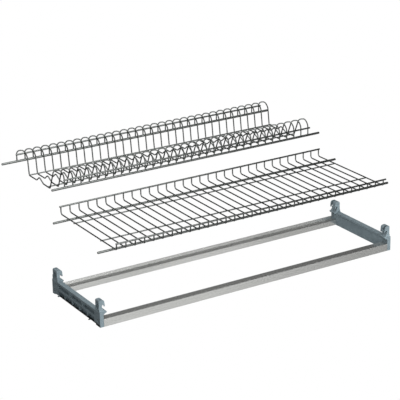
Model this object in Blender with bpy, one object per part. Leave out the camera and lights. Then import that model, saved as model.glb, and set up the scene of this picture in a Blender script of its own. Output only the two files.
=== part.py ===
"""Dish drainer for a wall cabinet: an aluminium frame with plastic end pieces, a cup rack and a plate rack.

The origin is on the outer face of the left end piece, half way up it and half way along it.
X runs along the frame to the right, Y from its front to its rear, and Z up.
"""
import math

import bmesh
import bpy

# Gap between pieces that touch, and the overrun of every cut past the face that it starts from
GAP = 0.0003
OVERRUN = 0.002

# Frame: two end pieces that carry a front and a rear profile
FRAME_LENGTH = 0.864
FRAME_DEPTH = 0.248
END_HEIGHT = 0.038
END_THICKNESS = 0.010
END_LIP_REACH = 0.003
END_LIP_HEIGHT = 0.005

# Hook post: a head over a mouth that opens inwards, and a jaw under the mouth
FRONT_POST_INSET = 0.0005
REAR_POST_INSET = 0.004
POST_WIDTH = 0.022
POST_SETBACK = 0.0008
POST_HEIGHT = 0.067
POST_ROOT = 0.010
HEAD_REACH = 0.0160
HEAD_CORNER = 0.003
HEAD_BEND = 0.006
HEAD_LIP_REACH = 0.0170
HEAD_LIP_HEIGHT = 0.0500
HEAD_LIP_BLADE = 0.0028
MOUTH_ROOF = 0.0550
MOUTH_DEPTH = 0.0090
MOUTH_HEIGHT = 0.0490
JAW_REACH = 0.0195
JAW_HEIGHT = 0.0380
JAW_BLADE = 0.003
# From the mouth (0) to the jaw's tip (1): how far in, and how far down
JAW_SHARES = ((0.18, 0.42), (0.52, 0.80))

# Shoulder behind the rear post, and the lugs under the plate
SHOULDER_DEPTH = 0.008
SHOULDER_HEIGHT = 0.049
SHOULDER_SETBACK = 0.0012
LUG_WIDTH = 0.005
LUG_DROP = 0.0028
LUG_THICKNESS = 0.005
LUG_SHARES = (-0.5, 0.8)

# Seat of a rod: a slot down the post, closed by the post's outer wall
SEAT_INSET = 0.010
SEAT_HEIGHT = 0.050
SEAT_WALL = 0.0055
SEAT_CLEARANCE = 0.0003

# Outer face of an end piece: slots with round corners over a row of pockets, and the step along its lower edge
POCKET_DEPTH = 0.005
POCKET_RIM = 0.005
POCKET_RIB = 0.0028
MIDDLE_RIB = 0.005
LONG_SLOTS = 3
LONG_SLOT_CORNER = 0.004
LONG_SLOT_END = 0.028
POCKETS = 5
POCKET_END = 0.030
PEG_HOLE_RADIUS = 0.0014
PEG_HOLE_DEPTH = 0.004
# Across the post from its outer edge (0), and up the plate
PEG_HOLE_SHARES = ((0.62, 0.80), (0.90, 0.77))
POST_POCKET_WIDTH = 0.010
POST_POCKET_HEIGHT = 0.016
POST_POCKET_DEPTH = 0.0025
STEP_HEIGHT = 0.003
STEP_DEPTH = 0.004
STEP_FRONT = 0.022
STEP_REAR = 0.012

# Profiles: drawn aluminium, of one wall throughout, with a port that takes the screw
PROFILE_WALL = 0.0016
FRONT_FACE_HEIGHT = 0.018
FRONT_LEDGE_DEPTH = 0.024
FRONT_LIP_HEIGHT = 0.0015
FRONT_FOOT = 0.008
FRONT_INNER_WALL = 0.009
REAR_LEDGE_HEIGHT = 0.014
REAR_LEDGE_DEPTH = 0.022
REAR_LIP_HEIGHT = 0.006
PORT_WALL = 0.0014
PORT_MOUTH_HALF_ANGLE = math.radians(35)

# Screws through the end pieces into the ports
SCREW_RADIUS = 0.0016
SCREW_LENGTH = 0.018
SCREW_HEAD_RADIUS = 0.0035
SCREW_HEAD_HEIGHT = 0.0022
SCREW_SUNK = 0.0028

# Round wire
ROD_RADIUS = 0.00275
RAIL_RADIUS = 0.0020
THIN_RADIUS = 0.0015
WIRE_RADIUS = 0.0015
WELD_SHARE = 0.7

# Cup rack: a floor of wires on two rods, with a low wall behind and a lip in front
CUP_LIFT = 0.136
ROD_END_CLEARANCE = 0.0005
CUP_WIRES = 32
CUP_LEFT_MARGIN = 0.0405
CUP_RIGHT_MARGIN = 0.0305
CUP_REAR_OVERHANG = 0.036
CUP_FRONT_OVERHANG = 0.019
CUP_WALL_RISE = 0.024
CUP_LIP_RISE = 0.015
CUP_BEND = 0.006
CUP_LIP_BEND = 0.004
CUP_RAIL_OVERHANG = 0.004
CUP_FRONT_RAIL_TAIL = 0.009
CUP_BRACE_SHARES = (0.15, 0.75)

# Plate rack: arched wires on two rods, the front one further to the right
PLATE_WIRES = 33
PLATE_LEFT = -0.0499
PLATE_REAR = 0.272
PLATE_HEIGHT = 0.3042
PLATE_ROD_LENGTH = 0.795
PLATE_DEPTH = 0.1635
PLATE_DROP = 0.0306
REAR_ROD_LEAD = 0.0462
REAR_ROD_TAIL = 0.0024
FRONT_ROD_LEAD = 0.0377
REAR_RAIL_RISE = 0.0170
FRONT_RAIL_RISE = 0.0190
REAR_CROWN_RISE = 0.0095
FRONT_CROWN_RISE = 0.0250
REAR_ARCH_SPREAD = 0.0023
REAR_FOOT_DROP = 0.003
FRONT_FOOT_DROP = 0.002
REAR_BEND_IN = 0.0090
FLOOR_DROP = 0.0396
FLOOR_DEPTH = 0.1180
FLOOR_BEND = 0.0045
FLOOR_BUMP = 0.0105
FRONT_LEAN = 0.0200
PLATE_RAIL_OVERHANG = 0.004
# Part of an arch's width that lies behind its crown
REAR_CROWN_SHARE = 0.36
FRONT_CROWN_SHARE = 0.38
BRACE_OVERHANG = 0.002
BRACE_INSET = 0.006
# Along the floor from the rear bend (0) to the front corner (1), and up to the bump (1)
FLOOR_SHARES = ((0.36, 0.0), (0.47, 0.95), (0.515, 1.0), (0.68, 0.05))

# Facets of the round forms
ARCH_STEPS = 4
PORT_STEPS = 6
SEAT_STEPS = 6
SCREW_SIDES = 10
PEG_HOLE_SIDES = 6
CORNER_STEPS = 3
SLOT_CORNER_STEPS = 2

# Sizes that follow
FRAME_BOTTOM = -END_HEIGHT / 2
HALF_DEPTH = FRAME_DEPTH / 2
SEAT_Y = HALF_DEPTH - SEAT_INSET
POST_EDGES = {-1: FRONT_POST_INSET - HALF_DEPTH, 1: HALF_DEPTH - REAR_POST_INSET}
SLOT_HALF = ROD_RADIUS + SEAT_CLEARANCE
PORT_BORE = SCREW_RADIUS + GAP
PORT_RADIUS = PORT_BORE + PORT_WALL
FRONT_PORT_DEPTH = FRONT_LEDGE_DEPTH / 2
FRONT_PORT_HEIGHT = FRONT_FACE_HEIGHT - PORT_RADIUS
REAR_PORT_DEPTH = REAR_LEDGE_DEPTH / 2
REAR_PORT_HEIGHT = REAR_LEDGE_HEIGHT - PORT_RADIUS


def touch(radius):
    """Distance from a wire's centre line to that of a round piece that it lies against."""
    return radius + WIRE_RADIUS + GAP


def finish(name, colour, roughness, metallic):
    """A plain shader of one colour."""
    material = bpy.data.materials.new(name)
    material.use_nodes = True
    shader = material.node_tree.nodes["Principled BSDF"]
    shader.inputs["Base Color"].default_value = (*colour, 1.0)
    shader.inputs["Roughness"].default_value = roughness
    shader.inputs["Metallic"].default_value = metallic
    material.diffuse_color = (*colour, 1.0)
    return material


def place(name, data, material, parent):
    """Link an object for this data to the scene, under its parent."""
    thing = bpy.data.objects.new(name, data)
    bpy.context.scene.collection.objects.link(thing)
    thing.parent = parent
    if material:
        data.materials.append(material)
    return thing


def body(name, location):
    """An empty that carries the pieces which move together."""
    empty = bpy.data.objects.new(name, None)
    empty.location = location
    bpy.context.scene.collection.objects.link(empty)
    return empty


def arc(centre, radius, start, stop, steps):
    """Points on an arc in a plane, both ends among them."""
    points = []
    for step in range(steps + 1):
        angle = start + (stop - start) * step / steps
        points.append((centre[0] + radius * math.cos(angle), centre[1] + radius * math.sin(angle)))
    return points


def prism(builder, outline, along, start, stop):
    """Extrude a closed outline from start to stop along X or Y; its points are (depth or x, z)."""
    if along == "X":
        corners = [builder.verts.new((start, across, up)) for across, up in outline]
        step = (stop - start, 0, 0)
    else:
        corners = [builder.verts.new((across, start, up)) for across, up in outline]
        step = (0, stop - start, 0)
    base = builder.faces.new(corners)
    grown = bmesh.ops.extrude_face_region(builder, geom=[base], use_keep_orig=True)
    moved = [item for item in grown["geom"] if isinstance(item, bmesh.types.BMVert)]
    bmesh.ops.translate(builder, verts=moved, vec=step)


def box(builder, low, high):
    """Add a box between two opposite corners."""
    outline = [(low[0], low[2]), (high[0], low[2]), (high[0], high[2]), (low[0], high[2])]
    prism(builder, outline, "Y", low[1], high[1])


def solid(name, builder):
    """Turn a builder into a mesh whose faces point outwards."""
    bmesh.ops.recalc_face_normals(builder, faces=builder.faces[:])
    mesh = bpy.data.meshes.new(name)
    builder.to_mesh(mesh)
    builder.free()
    return mesh


def combine(target, tool, operation):
    """Join a hidden tool to a piece, or cut it out."""
    tool.hide_render = True
    tool.display_type = "WIRE"
    modifier = target.modifiers.new(operation.lower(), "BOOLEAN")
    modifier.operation = operation
    modifier.solver = "EXACT"
    modifier.object = tool


def wire_data(name, points, radius, resolution):
    """Round wire along its centre line; a resolution of 1 gives six sides, 2 gives eight."""
    curve = bpy.data.curves.new(name, "CURVE")
    curve.dimensions = "3D"
    curve.bevel_depth = radius
    curve.bevel_resolution = resolution
    curve.use_fill_caps = True
    spline = curve.splines.new("POLY")
    spline.points.add(len(points) - 1)
    for point, where in zip(spline.points, points):
        point.co = (*where, 1.0)
    return curve


def rod(name, left, right, depth, height, radius, material, parent):
    """A straight round rod along X."""
    points = [(left, depth, height), (right, depth, height)]
    return place(name, wire_data(name, points, radius, 2), material, parent)


def mirrored(outer, inward, across):
    """X of a point that lies this far in from an end piece's outer face."""
    return outer + inward * across


def post_outline():
    """Side view of a hook post: root, back, crown, overhanging lip, round mouth and jaw."""
    back = POST_SETBACK
    crown = POST_HEIGHT
    points = [(END_THICKNESS - POST_SETBACK, POST_ROOT), (back, POST_ROOT)]
    points += arc((back + HEAD_CORNER, crown - HEAD_CORNER), HEAD_CORNER, math.pi, math.pi / 2, CORNER_STEPS)
    points += arc((HEAD_REACH - HEAD_BEND, crown - HEAD_BEND), HEAD_BEND, math.pi / 2, 0, CORNER_STEPS)
    points.append((HEAD_LIP_REACH, HEAD_LIP_HEIGHT))
    inner = HEAD_LIP_REACH - HEAD_LIP_BLADE
    bend = (inner - MOUTH_DEPTH) / 2
    points.append((inner, HEAD_LIP_HEIGHT))
    points += arc((MOUTH_DEPTH + bend, MOUTH_ROOF - bend), bend, 0, math.pi, CORNER_STEPS)
    points.append((MOUTH_DEPTH, MOUTH_HEIGHT))
    for across, down in JAW_SHARES:
        points.append((MOUTH_DEPTH + (JAW_REACH - MOUTH_DEPTH) * across,
                       MOUTH_HEIGHT - (MOUTH_HEIGHT - JAW_HEIGHT) * down))
    points.append((JAW_REACH, JAW_HEIGHT))
    points.append((JAW_REACH - JAW_BLADE / 2, JAW_HEIGHT - JAW_BLADE))
    points.append((END_THICKNESS - POST_SETBACK, JAW_HEIGHT - JAW_BLADE * 2))
    return points


def end_body(outer, inward):
    """The plate of an end piece: a section with a lip along its upper inner edge."""
    inner = END_THICKNESS
    lip = inner + END_LIP_REACH
    shelf = END_HEIGHT - END_LIP_HEIGHT
    section = [(0, 0), (inner, 0), (inner, shelf - END_LIP_REACH), (lip, shelf), (lip, END_HEIGHT), (0, END_HEIGHT)]
    outline = [(mirrored(outer, inward, across), FRAME_BOTTOM + up) for across, up in section]
    builder = bmesh.new()
    prism(builder, outline, "Y", -HALF_DEPTH, HALF_DEPTH)
    return builder


def end_posts(outer, inward):
    """The two hook posts of an end piece."""
    outline = [(mirrored(outer, inward, across), FRAME_BOTTOM + up) for across, up in post_outline()]
    builder = bmesh.new()
    for side, edge in POST_EDGES.items():
        prism(builder, outline, "Y", edge - side * POST_WIDTH, edge)
    return builder


def end_trims(outer, inward):
    """The shoulder behind the rear post and the lugs under the plate."""
    builder = bmesh.new()
    near = mirrored(outer, inward, SHOULDER_SETBACK)
    far = mirrored(outer, inward, END_THICKNESS - SHOULDER_SETBACK)
    box(builder, (near, HALF_DEPTH - SHOULDER_DEPTH, FRAME_BOTTOM + POST_ROOT),
        (far, HALF_DEPTH - FRONT_POST_INSET, FRAME_BOTTOM + SHOULDER_HEIGHT))
    far = mirrored(outer, inward, SHOULDER_SETBACK + LUG_THICKNESS)
    for share in LUG_SHARES:
        middle = share * HALF_DEPTH
        box(builder, (near, middle - LUG_WIDTH / 2, FRAME_BOTTOM - LUG_DROP),
            (far, middle + LUG_WIDTH / 2, FRAME_BOTTOM + POCKET_RIM / 2))
    return builder


def seat_outline(depth):
    """Front view of a slot with a round bottom, open at the top of the post."""
    centre = (depth, FRAME_BOTTOM + SEAT_HEIGHT)
    points = arc(centre, SLOT_HALF, math.pi, 2 * math.pi, SEAT_STEPS)
    top = FRAME_BOTTOM + POST_HEIGHT + OVERRUN
    return points + [(depth + SLOT_HALF, top), (depth - SLOT_HALF, top)]


def spans(margin, number):
    """Y ranges of a row of pockets with ribs between them, this far from both ends of the plate."""
    reach = HALF_DEPTH - margin
    width = (2 * reach - (number - 1) * POCKET_RIB) / number
    return [(count * (width + POCKET_RIB) - reach, count * (width + POCKET_RIB) - reach + width)
            for count in range(number)]


def long_slot_outline(low, high, bottom, top):
    """Front view of a slot with round corners."""
    corner = LONG_SLOT_CORNER
    quarter = math.pi / 2
    points = []
    places = ((high - corner, top - corner), (low + corner, top - corner), (low + corner, bottom + corner),
              (high - corner, bottom + corner))
    for turn, centre in enumerate(places):
        points += arc(centre, corner, turn * quarter, (turn + 1) * quarter, SLOT_CORNER_STEPS)
    return points


def end_cuts(outer, inward):
    """Everything that is cut from an end piece but the screw holes."""
    builder = bmesh.new()
    outside = mirrored(outer, inward, -OVERRUN)
    floor = mirrored(outer, inward, POCKET_DEPTH)
    row = (END_HEIGHT - MIDDLE_RIB) / 2 - POCKET_RIM
    bottom = FRAME_BOTTOM + POCKET_RIM
    for low, high in spans(POCKET_END, POCKETS):
        box(builder, (outside, low, bottom), (floor, high, bottom + row))
    bottom += row + MIDDLE_RIB
    for low, high in spans(LONG_SLOT_END, LONG_SLOTS):
        prism(builder, long_slot_outline(low, high, bottom, bottom + row), "X", outside, floor)
    shallow = mirrored(outer, inward, POST_SETBACK + POST_POCKET_DEPTH)
    for side, edge in POST_EDGES.items():
        middle = edge - side * POST_WIDTH / 2
        low = FRAME_BOTTOM + END_HEIGHT + POCKET_RIM
        box(builder, (outside, middle - POST_POCKET_WIDTH / 2, low),
            (shallow, middle + POST_POCKET_WIDTH / 2, low + POST_POCKET_HEIGHT))
        for across, up in PEG_HOLE_SHARES:
            centre = (edge - side * POST_WIDTH * across, FRAME_BOTTOM + END_HEIGHT * up)
            ring = arc(centre, PEG_HOLE_RADIUS, 0, 2 * math.pi, PEG_HOLE_SIDES)[:-1]
            prism(builder, ring, "X", outside, mirrored(outer, inward, PEG_HOLE_DEPTH))
        slot = mirrored(outer, inward, SEAT_WALL)
        prism(builder, seat_outline(side * SEAT_Y), "X", slot, mirrored(outer, inward, JAW_REACH + OVERRUN))
    step = mirrored(outer, inward, STEP_DEPTH)
    box(builder, (outside, STEP_FRONT - HALF_DEPTH, FRAME_BOTTOM - OVERRUN),
        (step, HALF_DEPTH - STEP_REAR, FRAME_BOTTOM + STEP_HEIGHT))
    return builder


def screw_places():
    """Y and Z of the front and the rear screw."""
    front = (FRONT_PORT_DEPTH - HALF_DEPTH, FRAME_BOTTOM + FRONT_PORT_HEIGHT)
    rear = (HALF_DEPTH - REAR_PORT_DEPTH, FRAME_BOTTOM + REAR_PORT_HEIGHT)
    return {"front": front, "rear": rear}


def turned(builder, outline, where, outer, inward):
    """Turn an outline of (distance in from the outer face, radius) round a screw's axis."""
    rim = [builder.verts.new((mirrored(outer, inward, across), where[0] + radius, where[1]))
           for across, radius in outline]
    edges = [builder.edges.new(pair) for pair in zip(rim, rim[1:])]
    axis_point = (outer, where[0], where[1])
    bmesh.ops.spin(builder, geom=rim + edges, cent=axis_point, axis=(1, 0, 0), dvec=(0, 0, 0),
                   angle=2 * math.pi, steps=SCREW_SIDES, use_merge=True, use_duplicate=False)
    bmesh.ops.remove_doubles(builder, verts=builder.verts[:], dist=GAP / 10)


def screw_hole_outline():
    """A counterbore and a hole through the end piece, each clear of the screw."""
    seat = SCREW_SUNK + GAP
    wide = SCREW_HEAD_RADIUS + GAP
    narrow = SCREW_RADIUS + GAP
    through = END_THICKNESS + OVERRUN
    return [(-OVERRUN, 0), (-OVERRUN, wide), (seat, wide), (seat, narrow), (through, narrow), (through, 0)]


def screw_outline():
    """Domed head, shank and point."""
    top = SCREW_SUNK - SCREW_HEAD_HEIGHT
    shoulder = top + SCREW_HEAD_HEIGHT / 2
    tip = SCREW_SUNK + SCREW_LENGTH
    return [(top, 0), (top, SCREW_HEAD_RADIUS / 2), (shoulder, SCREW_HEAD_RADIUS), (SCREW_SUNK, SCREW_HEAD_RADIUS),
            (SCREW_SUNK, SCREW_RADIUS), (tip - SCREW_RADIUS, SCREW_RADIUS), (tip, 0)]


def make_end_piece(side, outer, inward, plastic, frame):
    """One end piece with its posts joined and its slots, pockets and holes cut."""
    name = side + "_end_piece"
    piece = place(name, solid(name, end_body(outer, inward)), plastic, frame)
    posts = place(side + "_posts_tool", solid(side + "_posts_tool", end_posts(outer, inward)), None, frame)
    combine(piece, posts, "UNION")
    trims = place(side + "_trims_tool", solid(side + "_trims_tool", end_trims(outer, inward)), None, frame)
    combine(piece, trims, "UNION")
    cuts = place(side + "_cuts_tool", solid(side + "_cuts_tool", end_cuts(outer, inward)), None, frame)
    combine(piece, cuts, "DIFFERENCE")
    holes = bmesh.new()
    for where in screw_places().values():
        turned(holes, screw_hole_outline(), where, outer, inward)
    tool = place(side + "_holes_tool", solid(side + "_holes_tool", holes), None, frame)
    combine(piece, tool, "DIFFERENCE")


def make_screws(side, outer, inward, steel, frame):
    """The two screws of an end piece."""
    for end, where in screw_places().items():
        name = f"{side}_{end}_screw"
        builder = bmesh.new()
        turned(builder, screw_outline(), where, outer, inward)
        place(name, solid(name, builder), steel, frame)


def port(depth, height, ceiling):
    """Outline of a screw port that hangs from a ledge, from its inner side round to its outer side."""
    centre = (depth, height)
    mouth = PORT_MOUTH_HALF_ANGLE
    join = math.asin((ceiling - height) / PORT_RADIUS)
    down = -math.pi / 2
    outer_near = arc(centre, PORT_RADIUS, join, down + mouth, PORT_STEPS)
    bore = arc(centre, PORT_BORE, down + mouth, down - mouth + 2 * math.pi, PORT_STEPS * 2)
    outer_far = arc(centre, PORT_RADIUS, down - mouth, -math.pi - join, PORT_STEPS)
    return outer_near + bore + outer_far


def front_section():
    """Front profile, as (depth in from the front face, height): face, lip, ledge, inner wall, port and foot."""
    wall = PROFILE_WALL
    high = FRONT_FACE_HEIGHT
    ceiling = high - wall
    back = FRONT_LEDGE_DEPTH
    points = [(0, 0), (0, high + FRONT_LIP_HEIGHT), (wall, high + FRONT_LIP_HEIGHT), (wall, high), (back, high)]
    points += [(back, high - FRONT_INNER_WALL), (back - wall, high - FRONT_INNER_WALL), (back - wall, ceiling)]
    points += port(FRONT_PORT_DEPTH, FRONT_PORT_HEIGHT, ceiling)
    return points + [(wall, ceiling), (wall, wall), (FRONT_FOOT, wall), (FRONT_FOOT, 0)]


def rear_section():
    """Rear profile, as (depth in from the rear face, height): outer wall, ledge, inner wall and port."""
    wall = PROFILE_WALL
    high = REAR_LEDGE_HEIGHT
    ceiling = high - wall
    back = REAR_LEDGE_DEPTH
    points = [(0, 0), (0, high + REAR_LIP_HEIGHT), (wall, high + REAR_LIP_HEIGHT), (wall, high), (back, high)]
    points += [(back, 0), (back - wall, 0), (back - wall, ceiling)]
    points += port(REAR_PORT_DEPTH, REAR_PORT_HEIGHT, ceiling)
    return points + [(wall, ceiling), (wall, 0)]


def make_profile(name, section, face, inward, aluminium, frame):
    """A profile between the inner faces of the end pieces."""
    outline = [(face + inward * depth, FRAME_BOTTOM + up) for depth, up in section]
    builder = bmesh.new()
    start = END_THICKNESS + GAP
    prism(builder, outline, "X", start, FRAME_LENGTH - start)
    place(name, solid(name, builder), aluminium, frame)


def make_frame(aluminium, plastic, steel):
    """The frame that is screwed between the sides of a cabinet."""
    frame = body("frame", (0, 0, 0))
    make_profile("front_profile", front_section(), -HALF_DEPTH, 1, aluminium, frame)
    make_profile("rear_profile", rear_section(), HALF_DEPTH, -1, aluminium, frame)
    for side, outer, inward in (("left", 0, 1), ("right", FRAME_LENGTH, -1)):
        make_end_piece(side, outer, inward, plastic, frame)
        make_screws(side, outer, inward, steel, frame)


def cup_wire_path():
    """Centre line of a cup wire at X = 0, from the rear rail down, forward and up to the front rail."""
    rear = SEAT_Y + CUP_REAR_OVERHANG
    front = -SEAT_Y - CUP_FRONT_OVERHANG
    floor = touch(ROD_RADIUS)
    points = [(rear, CUP_WALL_RISE - RAIL_RADIUS - GAP)]
    points += arc((rear - CUP_BEND, floor + CUP_BEND), CUP_BEND, 0, -math.pi / 2, 2)
    points += arc((front + CUP_LIP_BEND, floor + CUP_LIP_BEND), CUP_LIP_BEND, -math.pi / 2, -math.pi, 2)
    points.append((front, floor + CUP_LIP_RISE - RAIL_RADIUS - GAP))
    return [(0, depth, height) for depth, height in points]


def add_wire_mesh(builder, data, offsets):
    """Add one mesh copy of a wire at each offset along X."""
    guide = bpy.data.objects.new("guide", data)
    mesh = bpy.data.meshes.new_from_object(guide)
    for offset in offsets:
        first = len(builder.verts)
        builder.from_mesh(mesh)
        builder.verts.ensure_lookup_table()
        bmesh.ops.translate(builder, verts=builder.verts[first:], vec=(offset, 0, 0))
    bpy.data.objects.remove(guide)
    bmesh.ops.remove_doubles(builder, verts=builder.verts[:], dist=GAP / 10)


def make_cup_rack(chrome):
    """The cup rack, which drops into the four seats of the frame."""
    rack = body("cup_rack", (0, 0, FRAME_BOTTOM + SEAT_HEIGHT + CUP_LIFT))
    left = SEAT_WALL + ROD_END_CLEARANCE
    right = FRAME_LENGTH - left
    first = left + CUP_LEFT_MARGIN
    last = right - CUP_RIGHT_MARGIN
    rod("cup_rear_rod", left, right, SEAT_Y, 0, ROD_RADIUS, chrome, rack)
    rod("cup_front_rod", left, right, -SEAT_Y, 0, ROD_RADIUS, chrome, rack)
    rod("cup_rear_rail", first - CUP_RAIL_OVERHANG, last + CUP_RAIL_OVERHANG, SEAT_Y + CUP_REAR_OVERHANG,
        CUP_WALL_RISE, RAIL_RADIUS, chrome, rack)
    rod("cup_front_rail", first - BRACE_OVERHANG, last + CUP_FRONT_RAIL_TAIL, -SEAT_Y - CUP_FRONT_OVERHANG,
        touch(ROD_RADIUS) + CUP_LIP_RISE, RAIL_RADIUS, chrome, rack)
    pitch = (last - first) / (CUP_WIRES - 1)
    wires = bmesh.new()
    path = wire_data("cup_wire_path", cup_wire_path(), WIRE_RADIUS, 1)
    add_wire_mesh(wires, path, [first + pitch * count for count in range(CUP_WIRES)])
    grid = place("cup_wire_grid", solid("cup_wire_grid", wires), chrome, rack)
    braces = bmesh.new()
    under = touch(ROD_RADIUS) - (WIRE_RADIUS + THIN_RADIUS) * WELD_SHARE
    for share in CUP_BRACE_SHARES:
        depth = SEAT_Y - share * 2 * SEAT_Y
        ends = [(first - BRACE_OVERHANG, depth, under), (last + BRACE_OVERHANG, depth, under)]
        add_wire_mesh(braces, wire_data("brace_path", ends, THIN_RADIUS, 1), [0])
    tool = place("cup_braces_tool", solid("cup_braces_tool", braces), None, rack)
    combine(grid, tool, "UNION")


def arch(width, crown, foot, share):
    """Front view of an arch, as (across, up): a round bend up to its crown, then a longer fall to its foot."""
    bend = width * share
    half = ARCH_STEPS // 2
    points = arc((bend, crown - bend), bend, math.pi, math.pi / 2, half)
    for across, up in arc((0, 0), 1, math.pi / 2, 0, half)[1:]:
        points.append((bend + (width - bend) * across, foot + (crown - foot) * up))
    return points


def plate_wire_path(pitch):
    """Centre line of a plate wire whose floor is at X = 0, from its foot on the rear rod to its foot in front."""
    behind = touch(ROD_RADIUS)
    rail = behind - touch(RAIL_RADIUS)
    before = rail - touch(RAIL_RADIUS)
    spread = pitch + REAR_ARCH_SPREAD
    points = [(-spread, behind, -REAR_FOOT_DROP)]
    rear_arch = arch(spread, REAR_RAIL_RISE + REAR_CROWN_RISE, 0, REAR_CROWN_SHARE)
    half = ARCH_STEPS // 2
    for step, (across, up) in enumerate(rear_arch[:-1]):
        depth = behind + (before - behind) * max(0, step - half + 1) / half
        points.append((across - spread, depth, up))
    points.append((0, -behind, 0))
    rear = -REAR_BEND_IN
    floor = -FLOOR_DROP
    points.append((0, rear, floor + FLOOR_BEND))
    points.append((0, rear - FLOOR_BEND, floor))
    for along, up in FLOOR_SHARES:
        points.append((0, rear - along * FLOOR_DEPTH, floor + up * FLOOR_BUMP))
    corner = rear - FLOOR_DEPTH
    points.append((0, corner + FLOOR_BEND, floor))
    points.append((0, corner, floor + FLOOR_BEND))
    foot = behind - PLATE_DEPTH
    inner = corner - FRONT_LEAN
    rail_height = FRONT_RAIL_RISE - PLATE_DROP
    for across, up in arch(pitch, rail_height + FRONT_CROWN_RISE, rail_height, FRONT_CROWN_SHARE):
        points.append((across, inner + (foot - inner) * across / pitch, up))
    points.append((pitch, foot, -PLATE_DROP - FRONT_FOOT_DROP))
    return points


def make_plate_rack(chrome):
    """The plate rack, whose rods lie on brackets at the sides of the cabinet."""
    rack = body("plate_rack", (PLATE_LEFT, PLATE_REAR, FRAME_BOTTOM + PLATE_HEIGHT))
    pitch = (PLATE_ROD_LENGTH - REAR_ROD_LEAD - REAR_ROD_TAIL) / PLATE_WIRES
    foot = REAR_ROD_LEAD - REAR_ARCH_SPREAD
    floor = REAR_ROD_LEAD + pitch
    front = floor + pitch
    span = pitch * (PLATE_WIRES - 1)
    beside = touch(ROD_RADIUS) - touch(RAIL_RADIUS)
    rod("plate_rear_rod", 0, PLATE_ROD_LENGTH, 0, 0, ROD_RADIUS, chrome, rack)
    rod("plate_rear_rail", foot - PLATE_RAIL_OVERHANG, foot + span + PLATE_RAIL_OVERHANG, beside, REAR_RAIL_RISE,
        RAIL_RADIUS, chrome, rack)
    lead = front - FRONT_ROD_LEAD
    rod("plate_front_rod", lead, lead + PLATE_ROD_LENGTH, -PLATE_DEPTH, -PLATE_DROP, ROD_RADIUS, chrome, rack)
    rod("plate_front_rail", front - PLATE_RAIL_OVERHANG, front + span + PLATE_RAIL_OVERHANG, beside - PLATE_DEPTH,
        FRONT_RAIL_RISE - PLATE_DROP, RAIL_RADIUS, chrome, rack)
    above = touch(THIN_RADIUS) - FLOOR_DROP
    rear = -REAR_BEND_IN - FLOOR_BEND - BRACE_INSET / 2
    rod("plate_rear_brace", floor - BRACE_OVERHANG, floor + span + BRACE_OVERHANG, rear, above, THIN_RADIUS,
        chrome, rack)
    fore = -REAR_BEND_IN - FLOOR_DEPTH + FLOOR_BEND + BRACE_INSET / 2
    rod("plate_front_brace", floor - BRACE_OVERHANG, floor + span + BRACE_OVERHANG, fore, above, THIN_RADIUS,
        chrome, rack)
    path = wire_data("plate_wire_path", plate_wire_path(pitch), WIRE_RADIUS, 1)
    path.materials.append(chrome)
    for count in range(PLATE_WIRES):
        wire = place(f"plate_wire_{count + 1:02d}", path, None, rack)
        wire.location = (floor + pitch * count, 0, 0)


def main():
    """Clear the scene and build the drainer."""
    for thing in list(bpy.data.objects):
        bpy.data.objects.remove(thing)
    aluminium = finish("anodised aluminium", (0.62, 0.64, 0.65), 0.35, 1.0)
    plastic = finish("grey plastic", (0.12, 0.155, 0.18), 0.5, 0.0)
    steel = finish("screw steel", (0.45, 0.46, 0.47), 0.4, 1.0)
    chrome = finish("chromed wire", (0.55, 0.57, 0.58), 0.15, 1.0)
    make_frame(aluminium, plastic, steel)
    make_cup_rack(chrome)
    make_plate_rack(chrome)


main()
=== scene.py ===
# %% [markdown]
# Dish drainer for a wall cabinet. A frame of two drawn aluminium profiles and two moulded end pieces is
# screwed between the sides of the cabinet. A cup rack drops into its four forked posts, and a plate rack
# hangs above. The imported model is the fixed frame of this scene: every piece below takes its place from it.

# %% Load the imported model
import math

import bmesh
import bpy
from mathutils import Matrix, Vector


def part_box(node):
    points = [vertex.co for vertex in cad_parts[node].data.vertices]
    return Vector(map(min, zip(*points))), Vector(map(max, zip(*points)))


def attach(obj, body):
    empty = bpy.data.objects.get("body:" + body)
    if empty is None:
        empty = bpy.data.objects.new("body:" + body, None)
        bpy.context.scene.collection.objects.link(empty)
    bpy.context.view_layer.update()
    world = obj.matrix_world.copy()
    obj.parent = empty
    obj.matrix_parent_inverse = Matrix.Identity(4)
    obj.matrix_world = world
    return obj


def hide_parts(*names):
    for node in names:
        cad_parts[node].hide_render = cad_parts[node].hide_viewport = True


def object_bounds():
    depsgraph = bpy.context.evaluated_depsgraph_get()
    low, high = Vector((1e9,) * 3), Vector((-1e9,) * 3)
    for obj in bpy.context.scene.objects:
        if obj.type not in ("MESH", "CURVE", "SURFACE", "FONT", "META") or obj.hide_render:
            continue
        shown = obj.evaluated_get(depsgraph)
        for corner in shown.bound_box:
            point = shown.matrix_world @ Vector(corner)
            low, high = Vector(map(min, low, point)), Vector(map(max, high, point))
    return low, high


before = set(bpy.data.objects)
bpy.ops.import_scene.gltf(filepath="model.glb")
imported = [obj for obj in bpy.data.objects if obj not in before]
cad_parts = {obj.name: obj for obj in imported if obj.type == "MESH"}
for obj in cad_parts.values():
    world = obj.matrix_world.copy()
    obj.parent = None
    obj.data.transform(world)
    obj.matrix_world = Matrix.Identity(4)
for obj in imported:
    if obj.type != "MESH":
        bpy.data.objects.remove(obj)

cad_low, cad_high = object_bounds()
MM = 0.001
cad_size = [round(side / MM, 1) for side in cad_high - cad_low]
print("packed model:", len(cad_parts), "nodes, size", cad_size, "mm")

# %% [markdown]
# The camera comes first, because every later choice is judged through it. Its place was found by matching
# rod ends and corners of the real photograph: a long lens from the left, a little above, and tipped by a
# degree. The matrix is built from its three axes, so that no constraint or target object is needed.

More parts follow.
